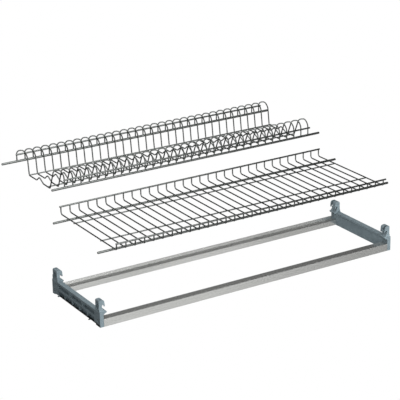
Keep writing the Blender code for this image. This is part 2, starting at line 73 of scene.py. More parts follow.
# %% Camera
SENSOR = 36 * MM
LENS = 141.0
CAMERA_DISTANCE = 3.8923
CAMERA_AZIMUTH = math.radians(-31.42)
CAMERA_ELEVATION = math.radians(20.42)
CAMERA_ROLL = math.radians(-1.03)
CAMERA_TARGET = Vector((0.3572, 0, 0.1894))

outward = Vector((math.sin(CAMERA_AZIMUTH) * math.cos(CAMERA_ELEVATION),
                  -math.cos(CAMERA_AZIMUTH) * math.cos(CAMERA_ELEVATION),
                  math.sin(CAMERA_ELEVATION)))
level_right = Vector((math.cos(CAMERA_AZIMUTH), math.sin(CAMERA_AZIMUTH), 0))
level_up = outward.cross(level_right)
right = level_right * math.cos(CAMERA_ROLL) + level_up * math.sin(CAMERA_ROLL)
up = outward.cross(right)
camera_data = bpy.data.cameras.new("camera")
camera_data.lens = LENS
camera_data.sensor_width = SENSOR / MM
camera = bpy.data.objects.new("camera", camera_data)
bpy.context.scene.collection.objects.link(camera)
turn = Matrix((right, up, outward)).transposed().to_4x4()
camera.matrix_world = Matrix.Translation(CAMERA_TARGET + outward * CAMERA_DISTANCE) @ turn
bpy.context.scene.camera = camera
print("camera at", [round(value, 3) for value in camera.matrix_world.translation], "m")

# %% [markdown]
# A small kit for materials. A finish is a Principled shader whose colour, roughness and bump are driven by
# noise in Object coordinates, so the grain keeps its real size on every piece and stays put when a rack is
# lifted.

# %% Node helpers
def new_material(name, base, roughness, metallic):
    """A node material; returns it with its node tree and its shader."""
    material = bpy.data.materials.new(name)
    material.use_nodes = True
    tree = material.node_tree
    shader = tree.nodes["Principled BSDF"]
    shader.inputs["Base Color"].default_value = (*base, 1)
    shader.inputs["Roughness"].default_value = roughness
    shader.inputs["Metallic"].default_value = metallic
    material.diffuse_color = (*base, 1)
    return material, tree, shader


def noise(tree, scale, detail=3.0, stretch=(1, 1, 1)):
    """Noise on Object coordinates; scale is in features per metre, and stretch squeezes it along an axis."""
    where = tree.nodes.new("ShaderNodeTexCoord")
    mapping = tree.nodes.new("ShaderNodeMapping")
    mapping.inputs["Scale"].default_value = stretch
    texture = tree.nodes.new("ShaderNodeTexNoise")
    texture.inputs["Scale"].default_value = scale
    texture.inputs["Detail"].default_value = detail
    tree.links.new(where.outputs["Object"], mapping.inputs["Vector"])
    tree.links.new(mapping.outputs["Vector"], texture.inputs["Vector"])
    return texture.outputs["Fac"]


def ramp(tree, source, low, high, start=0.3, stop=0.7):
    """Spread a 0 to 1 value between two colours or two levels."""
    node = tree.nodes.new("ShaderNodeValToRGB")
    for element, position, value in zip(node.color_ramp.elements, (start, stop), (low, high)):
        element.position = position
        element.color = (*value, 1) if isinstance(value, tuple) else (value, value, value, 1)
    tree.links.new(source, node.inputs["Fac"])
    return node.outputs["Color"]


def smooth_step(tree, value, start, stop):
    """0 where a value is at start or beyond it, and 1 at stop, with a smooth way between."""
    node = tree.nodes.new("ShaderNodeMapRange")
    node.interpolation_type = "SMOOTHSTEP"
    low, high = sorted((start, stop))
    node.inputs["From Min"].default_value = low
    node.inputs["From Max"].default_value = high
    node.inputs["To Min"].default_value = 0 if low == start else 1
    node.inputs["To Max"].default_value = 1 if low == start else 0
    tree.links.new(value, node.inputs["Value"])
    return node.outputs["Result"]


def math_node(tree, operation, first, second=0.0):
    """A math node on two sockets or numbers."""
    node = tree.nodes.new("ShaderNodeMath")
    node.operation = operation
    for socket, value in zip(node.inputs, (first, second)):
        if isinstance(value, (int, float)):
            socket.default_value = value
        else:
            tree.links.new(value, socket)
    return node.outputs["Value"]


def bump(tree, shader, source, height, strength=1.0):
    """Raise the surface by a height in metres where the source is 1."""
    node = tree.nodes.new("ShaderNodeBump")
    node.inputs["Distance"].default_value = height
    node.inputs["Strength"].default_value = strength
    tree.links.new(source, node.inputs["Height"])
    tree.links.new(node.outputs["Normal"], shader.inputs["Normal"])


# %% [markdown]
# Chrome on drawn wire. The plating is bright but not a perfect mirror: it thins a little here and there,
# and the wire under it keeps faint ripples, so its highlights waver. Broad noise dulls the colour in
# patches, finer noise varies the roughness, and a very low bump bends the reflections. The weld beads were
# molten, so they are duller and rougher than the wire.

# %% Chromed wire
chrome, tree, shader = new_material("chromed wire", base=(0.48, 0.505, 0.495), roughness=0.16, metallic=1.0)
patches = noise(tree, 45, detail=4.0)
tree.links.new(ramp(tree, patches, (0.44, 0.47, 0.46), (0.52, 0.545, 0.53)), shader.inputs["Base Color"])
tree.links.new(ramp(tree, noise(tree, 320), 0.14, 0.20), shader.inputs["Roughness"])
bump(tree, shader, noise(tree, 700, detail=2.0), height=0.005 * MM, strength=0.5)

weld, tree, shader = new_material("chromed weld", base=(0.40, 0.42, 0.41), roughness=0.28, metallic=1.0)
colour = ramp(tree, noise(tree, 500), (0.28, 0.30, 0.30), (0.48, 0.50, 0.49))
tree.links.new(colour, shader.inputs["Base Color"])
tree.links.new(ramp(tree, noise(tree, 900), 0.20, 0.38), shader.inputs["Roughness"])
bump(tree, shader, noise(tree, 1500, detail=2.0), height=0.08 * MM)
print("finishes:", chrome.name, "and", weld.name)

# %% [markdown]
# Anodised aluminium. The die leaves fine lines along the length of a profile. Noise that is squeezed a
# hundred times along X gives those lines to the roughness and the bump, and a broader one gives the
# anodising its faint clouds.

# %% Anodised aluminium
aluminium, tree, shader = new_material("anodised aluminium", base=(0.84, 0.85, 0.83), roughness=0.24,
                                       metallic=0.9)
die_lines = noise(tree, 900, detail=3.0, stretch=(0.01, 1, 1))
clouds = noise(tree, 14, detail=4.0, stretch=(0.3, 1, 1))
tree.links.new(ramp(tree, clouds, (0.80, 0.81, 0.79), (0.88, 0.885, 0.87)), shader.inputs["Base Color"])
tree.links.new(ramp(tree, die_lines, 0.23, 0.26), shader.inputs["Roughness"])
bump(tree, shader, die_lines, height=0.002 * MM, strength=0.4)
shader.inputs["Anisotropic"].default_value = 0.4
print("finish:", aluminium.name)

# %% [markdown]
# Moulded plastic, blue-grey and matte. The mould is spark-eroded, which leaves an even fine grain; a slower
# noise mottles the colour as the melt cools unevenly. The stepped lower edge of the outer face, which
# presses on the cabinet, lies in shade, and that shade is painted into the colour as a near-black band. It
# could be a material slot of its own, but then the border would have to follow a loop of edges. Four smooth
# steps on Object coordinates mark this painted shade instead: far out, low down, behind the front face and
# in front of the rear post.

# %% Moulded plastic
# Painted shade: this near-black stands for the shade under the stepped lower edge, not for a dark material.
PAINTED_SHADE_COLOUR = (0.012, 0.016, 0.018, 1)
EDGE_TOP = -12.6 * MM
EDGE_DEPTH = 4.4 * MM
EDGE_FRONT_Y = -124 * MM
EDGE_REAR_Y = 88 * MM
SOFT_EDGE = 0.4 * MM
# A Mix node has sockets for numbers, vectors and colours; these are its factor and its colour sockets.
MIX_FACTOR = 0
MIX_COLOUR_A = 6
MIX_COLOUR_B = 7
MIX_COLOUR = 2
left_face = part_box("left_end_piece")[0].x
right_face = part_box("right_end_piece")[1].x
half_length = (right_face - left_face) / 2

plastic, tree, shader = new_material("moulded plastic", base=(0.185, 0.235, 0.26), roughness=0.5,
                                     metallic=0.0)
mottle = noise(tree, 60, detail=5.0)
colour = ramp(tree, mottle, (0.165, 0.21, 0.235), (0.205, 0.26, 0.285))
where = tree.nodes.new("ShaderNodeTexCoord")
parts = tree.nodes.new("ShaderNodeSeparateXYZ")
tree.links.new(where.outputs["Object"], parts.inputs["Vector"])
from_middle = math_node(tree, "SUBTRACT", parts.outputs["X"], (left_face + right_face) / 2)
outer = smooth_step(tree, math_node(tree, "ABSOLUTE", from_middle), half_length - EDGE_DEPTH - SOFT_EDGE,
                    half_length - EDGE_DEPTH)
low = smooth_step(tree, parts.outputs["Z"], EDGE_TOP, EDGE_TOP - SOFT_EDGE)
behind = smooth_step(tree, parts.outputs["Y"], EDGE_FRONT_Y, EDGE_FRONT_Y + SOFT_EDGE)
before = smooth_step(tree, parts.outputs["Y"], EDGE_REAR_Y, EDGE_REAR_Y - SOFT_EDGE)
along = math_node(tree, "MULTIPLY", before, behind)
across = math_node(tree, "MULTIPLY", outer, low)
# This mix paints the shade of the lower edge into the base colour of the plastic.
painted_edge_shade = tree.nodes.new("ShaderNodeMix")
painted_edge_shade.data_type = "RGBA"
tree.links.new(math_node(tree, "MULTIPLY", across, along), painted_edge_shade.inputs[MIX_FACTOR])
tree.links.new(colour, painted_edge_shade.inputs[MIX_COLOUR_A])
painted_edge_shade.inputs[MIX_COLOUR_B].default_value = PAINTED_SHADE_COLOUR
tree.links.new(painted_edge_shade.outputs[MIX_COLOUR], shader.inputs["Base Color"])
tree.links.new(ramp(tree, noise(tree, 400), 0.42, 0.60), shader.inputs["Roughness"])
bump(tree, shader, noise(tree, 2600, detail=2.0), height=0.05 * MM, strength=0.6)
print("finish:", plastic.name, "with a dark edge below", round(EDGE_TOP / MM, 1), "mm")

# %% [markdown]
# Plain steel for the screws, turned on a lathe and a little duller than the chrome.

# %% Screw steel
steel, tree, shader = new_material("screw steel", base=(0.42, 0.43, 0.44), roughness=0.38, metallic=1.0)
colour = ramp(tree, noise(tree, 800), (0.34, 0.35, 0.36), (0.50, 0.51, 0.52))
tree.links.new(colour, shader.inputs["Base Color"])
tree.links.new(ramp(tree, noise(tree, 1300), 0.30, 0.48), shader.inputs["Roughness"])
bump(tree, shader, noise(tree, 2400, detail=2.0), height=0.03 * MM)
print("finish:", steel.name)

# %% [markdown]
# Every wire of the racks is made as a wire bender makes it: feed a straight length, bend, feed again. The
# end of the wire is a ring of edges. Feeding extrudes the ring along its heading, and a bend spins it round
# the centre of the bend. A curve with a bevel would be quicker to type, but it squeezes the wire in a tight
# bend and leaves its ends sharp; this way the section stays round and each cut end gets its small chamfer.

# %% Wire bender
CHAMFER_SHARE = 0.35
BEND_STEP = math.radians(12)
SMALLEST_FEED = 0.01 * MM
SMOOTH_ANGLE = math.radians(40)


def ring_parts(geometry):
    """The vertices of new geometry, and the edges that run only between them."""
    verts = [item for item in geometry if isinstance(item, bmesh.types.BMVert)]
    inside = set(verts)
    edges = [item for item in geometry
             if isinstance(item, bmesh.types.BMEdge) and inside.issuperset(item.verts)]
    return verts, edges


def feed(builder, edges, step, centre=None, growth=1.0):
    """Extrude the ring by a step, and scale the new ring about its centre."""
    verts, edges = ring_parts(bmesh.ops.extrude_edge_only(builder, edges=edges)["geom"])
    bmesh.ops.translate(builder, verts=verts, vec=step)
    if centre is not None:
        about_centre = Matrix.Translation(-centre)
        bmesh.ops.scale(builder, verts=verts, vec=(growth, growth, growth), space=about_centre)
    return verts, edges


def bend_wire(builder, route, radius, sides):
    """Bend one wire along a route of (corner, bend radius); the radii of its two ends count for nothing."""
    here = Vector(route[0][0])
    heading = (Vector(route[1][0]) - here).normalized()
    chamfer = radius * CHAMFER_SHARE
    across = heading.to_track_quat("Z", "Y").to_matrix().to_4x4()
    ring = bmesh.ops.create_circle(builder, cap_ends=True, segments=sides, radius=radius - chamfer,
                                   matrix=Matrix.Translation(here) @ across)
    verts = ring["verts"]
    edges = list({edge for vert in verts for edge in vert.link_edges})
    here = here + heading * chamfer
    verts, edges = feed(builder, edges, heading * chamfer, here, radius / (radius - chamfer))
    for (corner, bend), (after, _) in zip(route[1:-1], route[2:]):
        corner = Vector(corner)
        next_heading = (Vector(after) - corner).normalized()
        angle = heading.angle(next_heading)
        start = corner - heading * bend * math.tan(angle / 2)
        if (start - here).dot(heading) > SMALLEST_FEED:
            verts, edges = feed(builder, edges, start - here)
            here = start
        axis = heading.cross(next_heading).normalized()
        centre = here + axis.cross(heading) * bend
        steps = max(1, math.ceil(angle / BEND_STEP))
        spun = bmesh.ops.spin(builder, geom=verts + edges, cent=centre, axis=axis, dvec=(0, 0, 0),
                              angle=angle, steps=steps, use_merge=False, use_duplicate=False)
        verts, edges = ring_parts(spun["geom_last"])
        here = sum((vert.co for vert in verts), Vector()) / len(verts)
        heading = next_heading
    end = Vector(route[-1][0])
    if (end - heading * chamfer - here).dot(heading) > SMALLEST_FEED:
        verts, edges = feed(builder, edges, end - heading * chamfer - here)
    verts, edges = feed(builder, edges, heading * chamfer, end, (radius - chamfer) / radius)
    bmesh.ops.edgeloop_fill(builder, edges=edges)


def finish_piece(name, builder, material, body, smooth_angle=SMOOTH_ANGLE):
    """Turn a builder into a piece at the origin that rides on a body and has a finish."""
    bmesh.ops.recalc_face_normals(builder, faces=builder.faces[:])
    mesh = bpy.data.meshes.new(name)
    builder.to_mesh(mesh)
    builder.free()
    mesh.shade_smooth()
    mesh.set_sharp_from_angle(angle=smooth_angle)
    mesh.materials.append(material)
    piece = bpy.data.objects.new(name, mesh)
    bpy.context.scene.collection.objects.link(piece)
    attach(piece, body)
    return piece


# %% [markdown]
# The straight rods and rails. Each one takes its axis, its length and its thickness from the node that it
# replaces, so a changed size in the model is followed here. A rack is dipped whole after it is welded, and
# the plating closes the hairline that the model keeps between two wires: every wire grows by half of it. A
# thick rod has more sides than a thin one.

# %% Rods, rails and braces
GAP = 0.3 * MM
PLATING = GAP / 2
ROD_SIDES = 20
THIN_SIDES = 14


def axis_of(node):
    """Left end, right end, Y, Z and radius of a straight rod along X."""
    low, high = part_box(node)
    return low.x, high.x, (low.y + high.y) / 2, (low.z + high.z) / 2, (high.z - low.z) / 2


def make_rod(node, body, sides):
    """A straight rod in the place of a node."""
    left, right_end, depth, height, radius = axis_of(node)
    builder = bmesh.new()
    route = [((left, depth, height), 0), ((right_end, depth, height), 0)]
    bend_wire(builder, route, radius + PLATING, sides)
    piece = finish_piece("chromed_" + node, builder, chrome, body)
    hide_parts(node)
    return piece


straight = [
    ("cup_rack", ROD_SIDES, ("cup_rear_rod", "cup_front_rod")),
    ("plate_rack", ROD_SIDES, ("plate_rear_rod", "plate_front_rod")),
    ("cup_rack", THIN_SIDES, ("cup_rear_rail", "cup_front_rail")),
    ("plate_rack", THIN_SIDES, ("plate_rear_rail", "plate_front_rail")),
    ("plate_rack", THIN_SIDES, ("plate_rear_brace", "plate_front_brace")),
]
for body, sides, nodes in straight:
    for node in nodes:
        make_rod(node, body, sides)
print(sum(len(nodes) for _, _, nodes in straight), "straight rods, rails and braces")

# %% [markdown]
# Where two wires cross they are spot-welded: the metal softens, sinks in a little and leaves a small round
# bead in the corner. A bead is a low ball of a few dozen faces, stretched along the thicker rod, because
# there are hundreds of them.

# %% Weld beads
BEAD_RADIUS = 1.15 * MM
BEAD_STRETCH = 1.5
BEAD_SIDES = 8
BEAD_RINGS = 5


def add_bead(builder, where):
    """One bead at a crossing, long along X."""
    size = Matrix.Diagonal((BEAD_RADIUS * BEAD_STRETCH, BEAD_RADIUS, BEAD_RADIUS, 1))
    bmesh.ops.create_uvsphere(builder, u_segments=BEAD_SIDES, v_segments=BEAD_RINGS, radius=1,
                              matrix=Matrix.Translation(where) @ size)


# %% [markdown]
# The cup rack's floor: 32 equal wires that run from the rear rail down, forward over both rods and up to
# the front rail, and two thin braces that are welded under them. One node holds all of them, so one piece
# replaces it.

# %% Cup wires
WIRE_RADIUS = 1.5 * MM
THIN_RADIUS = 1.5 * MM
WIRE_SIDES = 12
CUP_WIRES = 32
CUP_REAR_BEND = 6.5 * MM
CUP_FRONT_BEND = 4.5 * MM
BRACE_OVERHANG = 2 * MM
BRACE_SHARES = (0.15, 0.75)
WELD_SHARE = 0.7

_, _, rear_rod_y, cup_rod_z, rod_radius = axis_of("cup_rear_rod")
_, _, front_rod_y, _, _ = axis_of("cup_front_rod")
_, _, rear_rail_y, rear_rail_z, rail_radius = axis_of("cup_rear_rail")
_, _, front_rail_y, front_rail_z, _ = axis_of("cup_front_rail")
grid_low, grid_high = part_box("cup_wire_grid")
first_x = grid_low.x + BRACE_OVERHANG
last_x = grid_high.x - BRACE_OVERHANG
cup_floor_z = cup_rod_z + rod_radius + WIRE_RADIUS + GAP
brace_z = cup_floor_z - (WIRE_RADIUS + THIN_RADIUS) * WELD_SHARE
brace_depths = [rear_rod_y + (front_rod_y - rear_rod_y) * share for share in BRACE_SHARES]

wires = bmesh.new()
cup_beads = bmesh.new()
for count in range(CUP_WIRES):
    x = first_x + (last_x - first_x) * count / (CUP_WIRES - 1)
    route = [((x, rear_rail_y, rear_rail_z - rail_radius - GAP), 0),
             ((x, rear_rail_y, cup_floor_z), CUP_REAR_BEND),
             ((x, front_rail_y, cup_floor_z), CUP_FRONT_BEND),
             ((x, front_rail_y, front_rail_z - rail_radius - GAP), 0)]
    bend_wire(wires, route, WIRE_RADIUS + PLATING, WIRE_SIDES)
    add_bead(cup_beads, (x, rear_rail_y, rear_rail_z - rail_radius))
    add_bead(cup_beads, (x, front_rail_y, front_rail_z - rail_radius))
    for depth in (rear_rod_y, front_rod_y):
        add_bead(cup_beads, (x, depth, cup_rod_z + rod_radius))
    for depth in brace_depths:
        add_bead(cup_beads, (x, depth, cup_floor_z - WIRE_RADIUS * WELD_SHARE))
for depth in brace_depths:
    route = [((grid_low.x, depth, brace_z), 0), ((grid_high.x, depth, brace_z), 0)]
    bend_wire(wires, route, THIN_RADIUS + PLATING, WIRE_SIDES)
cup_wires = finish_piece("cup_wires", wires, chrome, "cup_rack")
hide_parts("cup_wire_grid")
finish_piece("cup_rack_welds", cup_beads, weld, "cup_rack")
print("cup wires:", len(cup_wires.data.polygons), "faces")

# %% [markdown]
# From its foot behind the rear rod it arches over to the next place, runs down past the rod, along the
# floor with a dip and a bump that keep a plate upright, up the front leg and over a second arch to its foot
# on the front rod. An arch is a tight round bend up to its crown and a longer fall behind it, like a
# quarter of an ellipse. Two arcs of unlike radius that share a tangent draw that fall, and the corners of
# the route are where their tangents meet.

# %% Form of a plate wire
PLATE_WIRES = 33
REAR_FOOT_DROP = 3 * MM
FRONT_FOOT_DROP = 2 * MM
REAR_CROWN_RISE = 9.5 * MM
FRONT_CROWN_RISE = 25 * MM
REAR_CROWN_SHARE = 0.36
FRONT_CROWN_SHARE = 0.38
REAR_ARCH_SPREAD = 2.3 * MM
REAR_BEND_IN = 9 * MM
FLOOR_DEPTH = 118 * MM
FLOOR_BUMP = 10.5 * MM
FLOOR_SHARES = ((0.36, 0.0), (0.47, 0.95), (0.515, 1.0), (0.68, 0.05))
FRONT_LEAN = 22 * MM
LEG_SPREAD = 0.6 * MM
FRONT_LEG_SPREAD = 2.2 * MM
FLOOR_CORNER_BEND = 5.5 * MM
WAVE_BEND = 9 * MM
LEAN_BEND = 12 * MM
ROUNDING = 0.9
EIGHTH = math.tan(math.pi / 8)

_, _, plate_rear_y, plate_rear_z, _ = axis_of("plate_rear_rod")
_, _, plate_front_y, plate_front_z, _ = axis_of("plate_front_rod")
_, _, rear_top_y, rear_top_z, _ = axis_of("plate_rear_rail")
_, _, front_top_y, front_top_z, _ = axis_of("plate_front_rail")
_, _, rear_brace_y, plate_brace_z, _ = axis_of("plate_rear_brace")
_, _, front_brace_y, _, _ = axis_of("plate_front_brace")
rod_touch = rod_radius + WIRE_RADIUS + GAP
rail_touch = rail_radius + WIRE_RADIUS + GAP
plate_floor_z = plate_brace_z - THIN_RADIUS - WIRE_RADIUS - GAP


def arch_route(left, spot, foot_z, crown_z, share, depths):
    """Three corners of an arch and their radii: round to the crown, over it, and down the longer fall."""
    bend = (spot - left) * share
    fall = spot - left - bend
    drop = crown_z - foot_z
    slope = math.atan2(drop, fall)
    over = ROUNDING * EIGHTH * fall / math.tan(slope / 2)
    down = ROUNDING * EIGHTH * drop / math.tan((math.pi / 2 - slope) / 2)
    return [((left, depths[0], crown_z), bend),
            ((left + bend + EIGHTH * fall, depths[1], crown_z), over),
            ((spot, depths[2], foot_z + EIGHTH * drop), down)]


def plate_route(floor_x, pitch):
    """Corners and bend radii of one plate wire."""
    foot_y = plate_rear_y + rod_touch
    leg_y = rear_top_y - rail_touch
    spread = pitch + REAR_ARCH_SPREAD
    steepness = (foot_y - leg_y) / 2 / REAR_CROWN_SHARE
    over_y = foot_y - steepness * (REAR_CROWN_SHARE + EIGHTH * (1 - REAR_CROWN_SHARE))
    route = [((floor_x - spread, foot_y, plate_rear_z - REAR_FOOT_DROP), 0)]
    route += arch_route(floor_x - spread, floor_x, plate_rear_z, rear_top_z + REAR_CROWN_RISE,
                        REAR_CROWN_SHARE, (foot_y, over_y, 2 * leg_y - over_y))
    route.append(((floor_x, plate_rear_y - rod_touch, plate_rear_z), LEAN_BEND))
    rear_floor_y = plate_rear_y - REAR_BEND_IN
    route.append(((floor_x, rear_floor_y - LEG_SPREAD, plate_floor_z), FLOOR_CORNER_BEND))
    for along, high in FLOOR_SHARES:
        wave = (floor_x, rear_floor_y - along * FLOOR_DEPTH, plate_floor_z + high * FLOOR_BUMP)
        route.append((wave, WAVE_BEND))
    front_floor_y = rear_floor_y - FLOOR_DEPTH
    route.append(((floor_x, front_floor_y + FRONT_LEG_SPREAD, plate_floor_z), FLOOR_CORNER_BEND))
    top_y = front_floor_y - FRONT_LEAN
    front_foot_y = plate_front_y + rod_touch
    crown_y = top_y + (front_foot_y - top_y) * (FRONT_CROWN_SHARE + EIGHTH * (1 - FRONT_CROWN_SHARE))
    route += arch_route(floor_x, floor_x + pitch, front_top_z, front_top_z + FRONT_CROWN_RISE,
                        FRONT_CROWN_SHARE, (top_y, crown_y, front_foot_y))
    route.append(((floor_x + pitch, front_foot_y, plate_front_z - FRONT_FOOT_DROP), 0))
    return route


# %% [markdown]
# All plate wires have one form, and each stands one place further along. The first and the last node say
# where the row begins and ends. Eight beads go with every wire: two on the rear rod, two on the rear rail,
# and one each on the two braces, the front rail and the front rod.

# %% Bend the plate wires
first_floor_x = (sum(corner.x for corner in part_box("plate_wire_01")) + REAR_ARCH_SPREAD) / 2
last_floor_x = (sum(corner.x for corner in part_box(f"plate_wire_{PLATE_WIRES}")) + REAR_ARCH_SPREAD) / 2
plate_pitch = (last_floor_x - first_floor_x) / (PLATE_WIRES - 1)
rail_share = (rear_top_z - plate_rear_z) / (rear_top_z + REAR_CROWN_RISE - plate_rear_z)
over_rail = 1 - math.sqrt(1 - rail_share ** 2)
rail_meeting = (plate_pitch + REAR_ARCH_SPREAD) * (1 - REAR_CROWN_SHARE) * over_rail
plate_beads = bmesh.new()
for count in range(PLATE_WIRES):
    node = f"plate_wire_{count + 1:02d}"
    x = first_floor_x + plate_pitch * count
    builder = bmesh.new()
    bend_wire(builder, plate_route(x, plate_pitch), WIRE_RADIUS + PLATING, WIRE_SIDES)
    piece = finish_piece("bent_" + node, builder, chrome, "plate_rack")
    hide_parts(node)
    foot_x, front_x = x - plate_pitch - REAR_ARCH_SPREAD, x + plate_pitch
    add_bead(plate_beads, (foot_x, plate_rear_y + rod_radius, plate_rear_z))
    add_bead(plate_beads, (x, plate_rear_y - rod_radius, plate_rear_z))
    add_bead(plate_beads, (foot_x, rear_top_y + rail_radius, rear_top_z))
    add_bead(plate_beads, (x - rail_meeting, rear_top_y - rail_radius, rear_top_z))
    add_bead(plate_beads, (x, rear_brace_y, plate_floor_z + WIRE_RADIUS))
    add_bead(plate_beads, (x, front_brace_y, plate_floor_z + WIRE_RADIUS))
    add_bead(plate_beads, (front_x, front_top_y + rail_radius, front_top_z))
    add_bead(plate_beads, (front_x, plate_front_y + rod_radius, plate_front_z))
finish_piece("plate_rack_welds", plate_beads, weld, "plate_rack")
print("plate wires:", PLATE_WIRES, "of", len(piece.data.polygons), "faces each")

# %% [markdown]
# The profiles and the end pieces have the right section already, but no drawn or moulded edge is sharp. One
# way to round them would be to bevel the mesh for good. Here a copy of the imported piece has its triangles
# merged back to flat faces, and a Bevel modifier rounds the edges, so that the width can still be changed.
# The Weighted Normal modifier then keeps the flat faces flat and leaves the bend of the light to the narrow
# rounds.

# %% Copies with rounded edges
FLAT_WEIGHT = 100
FLAT_ANGLE = math.radians(1)
ROUND_SEGMENTS = 2


def merged_copy(node):
    """A builder that holds a node's shape with its triangles merged to flat faces."""
    builder = bmesh.new()
    builder.from_mesh(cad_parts[node].data)
    bmesh.ops.remove_doubles(builder, verts=builder.verts[:], dist=SMALLEST_FEED)
    bmesh.ops.dissolve_limit(builder, angle_limit=FLAT_ANGLE, verts=builder.verts[:],
                             edges=builder.edges[:])
    return builder


def rounded_piece(builder, node, name, material, width, angle):
    """Turn a builder into the piece that stands for a node, with rounded edges."""
    mesh = bpy.data.meshes.new(name)
    builder.to_mesh(mesh)
    builder.free()
    if "custom_normal" in mesh.attributes:
        mesh.attributes.remove(mesh.attributes["custom_normal"])
    mesh.shade_smooth()
    mesh.materials.clear()
    mesh.materials.append(material)
    piece = bpy.data.objects.new(name, mesh)
    bpy.context.scene.collection.objects.link(piece)
    bevel = piece.modifiers.new("edges", "BEVEL")
    bevel.width = width
    bevel.segments = ROUND_SEGMENTS
    bevel.limit_method = "ANGLE"
    bevel.angle_limit = angle
    weighted = piece.modifiers.new("flat faces", "WEIGHTED_NORMAL")
    weighted.weight = FLAT_WEIGHT
    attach(piece, "frame")
    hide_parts(node)
    return piece


def along_x(builder, depth, height):
    """The long edges whose two ends lie at this Y and Z."""
    return [edge for edge in builder.edges
            if all(abs(vert.co.y - depth) < SMALLEST_FEED and abs(vert.co.z - height) < SMALLEST_FEED
                   for vert in edge.verts)]


# %% [markdown]
# The two profiles. Each has one edge with a form of its own, which is made before the rest is rounded. The
# front profile has a round nose that catches a line of light, made with the bevel operator. The rear
# profile's lip is thicker at its root, so that its inner side leans back and shows light above the dark
# ledge.

# %% Drawn profiles
DRAWN_ROUND = 0.3 * MM
DRAWN_ANGLE = math.radians(40)
NOSE_RADIUS = 1.3 * MM
NOSE_SEGMENTS = 5
LIP_HEIGHT = 6 * MM
LIP_WALL = 1.6 * MM
LIP_ROOT = 2.2 * MM

builder = merged_copy("front_profile")
profile_low, profile_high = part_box("front_profile")
nose = along_x(builder, profile_low.y, profile_high.z)
bmesh.ops.bevel(builder, geom=nose, affect="EDGES", offset=NOSE_RADIUS, segments=NOSE_SEGMENTS, profile=0.5,
                material=-1)
rounded_piece(builder, "front_profile", "drawn_front_profile", aluminium,
              DRAWN_ROUND, DRAWN_ANGLE)

builder = merged_copy("rear_profile")
profile_low, profile_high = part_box("rear_profile")
root = along_x(builder, profile_high.y - LIP_WALL, profile_high.z - LIP_HEIGHT)
root_verts = list({vert for edge in root for vert in edge.verts})
bmesh.ops.translate(builder, verts=root_verts, vec=(0, -LIP_ROOT, 0))
rounded_piece(builder, "rear_profile", "drawn_rear_profile", aluminium,
              DRAWN_ROUND, DRAWN_ANGLE)
print("two drawn profiles, with", len(nose), "nose edge and", len(root), "lip root")

# %% [markdown]
# An end piece is one moulding. To cool evenly it has thin walls everywhere, so its outer face is all slots
# and pockets with ribs between them. Three things are shaped here on the merged copy: the pockets are sunk
# until a thin wall is left, the front post is swept back from the corner of the plate in a hollow curve,
# and the rear post gets a thin web with the same hollow edge. The sweep is made by slicing the post into
# strips with bisect_plane and moving each slice back by its place on a quarter of an ellipse; the web's
# edge is a vertex that is spun.

# %% End pieces
MOULD_ROUND = 0.45 * MM
MOULD_ANGLE = math.radians(30)
PLATE_TOP = 19 * MM
PACKED_POCKET = 5 * MM
SUNK_POCKET = 8.4 * MM
SWEEP_STOP_Y = -118.2 * MM
SWEEP_BACK = 4.6 * MM
SWEEP_RISE = 14 * MM
SWEEP_SLICES = 6
WEB_ROOT = 98 * MM
WEB_REACH = 7 * MM
WEB_INSET = 0.8 * MM
WEB_WALL = 2.2 * MM
WEB_SUNK = 0.2 * MM


def sink_pockets(builder, outer, inward):
    """Move the floors of the slots and pockets in until a thin wall is left."""
    pocket_x = outer + inward * PACKED_POCKET
    verts = [vert for vert in builder.verts
             if abs(vert.co.x - pocket_x) < SMALLEST_FEED and abs(vert.co.z) < PLATE_TOP]
    bmesh.ops.translate(builder, verts=verts, vec=(inward * (SUNK_POCKET - PACKED_POCKET), 0, 0))


def sweep_front_post(builder):
    """Slice the posts above the plate, and move the front face of the front post back along a hollow curve.

    What lies behind the face moves less and less, down to nothing just before the pocket of the post.
    """
    for count in range(SWEEP_SLICES + 1):
        height = PLATE_TOP + SWEEP_RISE * (1 - math.cos(math.pi / 2 * count / SWEEP_SLICES))
        bmesh.ops.bisect_plane(builder, geom=builder.verts[:] + builder.edges[:] + builder.faces[:],
                               dist=SMALLEST_FEED, plane_co=(0, 0, height), plane_no=(0, 0, 1))
    front_y = min(vert.co.y for vert in builder.verts)
    for vert in builder.verts:
        if vert.co.y < SWEEP_STOP_Y and vert.co.z > PLATE_TOP:
            nearness = (SWEEP_STOP_Y - vert.co.y) / (SWEEP_STOP_Y - front_y)
            left_to_rise = max(0, 1 - (vert.co.z - PLATE_TOP) / SWEEP_RISE)
            vert.co.y += SWEEP_BACK * nearness * math.sqrt(1 - left_to_rise ** 2)


def add_web(builder, outer, inward):
    """A thin web with a hollow edge, in the corner between the rear post and the plate."""
    wall = outer + inward * WEB_INSET
    foot = Vector((wall, WEB_ROOT - WEB_REACH, PLATE_TOP - WEB_SUNK))
    first = builder.verts.new(foot)
    centre = foot + Vector((0, 0, WEB_REACH))
    spun = bmesh.ops.spin(builder, geom=[first], cent=centre, axis=(1, 0, 0), dvec=(0, 0, 0),
                          angle=math.pi / 2, steps=SWEEP_SLICES, use_merge=False, use_duplicate=False)
    last = [item for item in spun["geom_last"] if isinstance(item, bmesh.types.BMVert)][0]
    rim = [first]
    while rim[-1] is not last:
        rim.append([edge.other_vert(rim[-1]) for edge in rim[-1].link_edges
                    if edge.other_vert(rim[-1]) not in rim][0])
    corner = builder.verts.new((wall, WEB_ROOT + WEB_SUNK, foot.z))
    bmesh.ops.scale(builder, verts=rim, vec=(1, 1, SWEEP_RISE / WEB_REACH),
                    space=Matrix.Translation(-foot))
    side = builder.faces.new(rim + [corner])
    made = bmesh.ops.extrude_face_region(builder, geom=[side])["geom"]
    verts = [item for item in made if isinstance(item, bmesh.types.BMVert)]
    bmesh.ops.translate(builder, verts=verts, vec=(inward * WEB_WALL, 0, 0))
    faces = list({face for vert in verts + rim + [corner] for face in vert.link_faces})
    bmesh.ops.recalc_face_normals(builder, faces=faces)


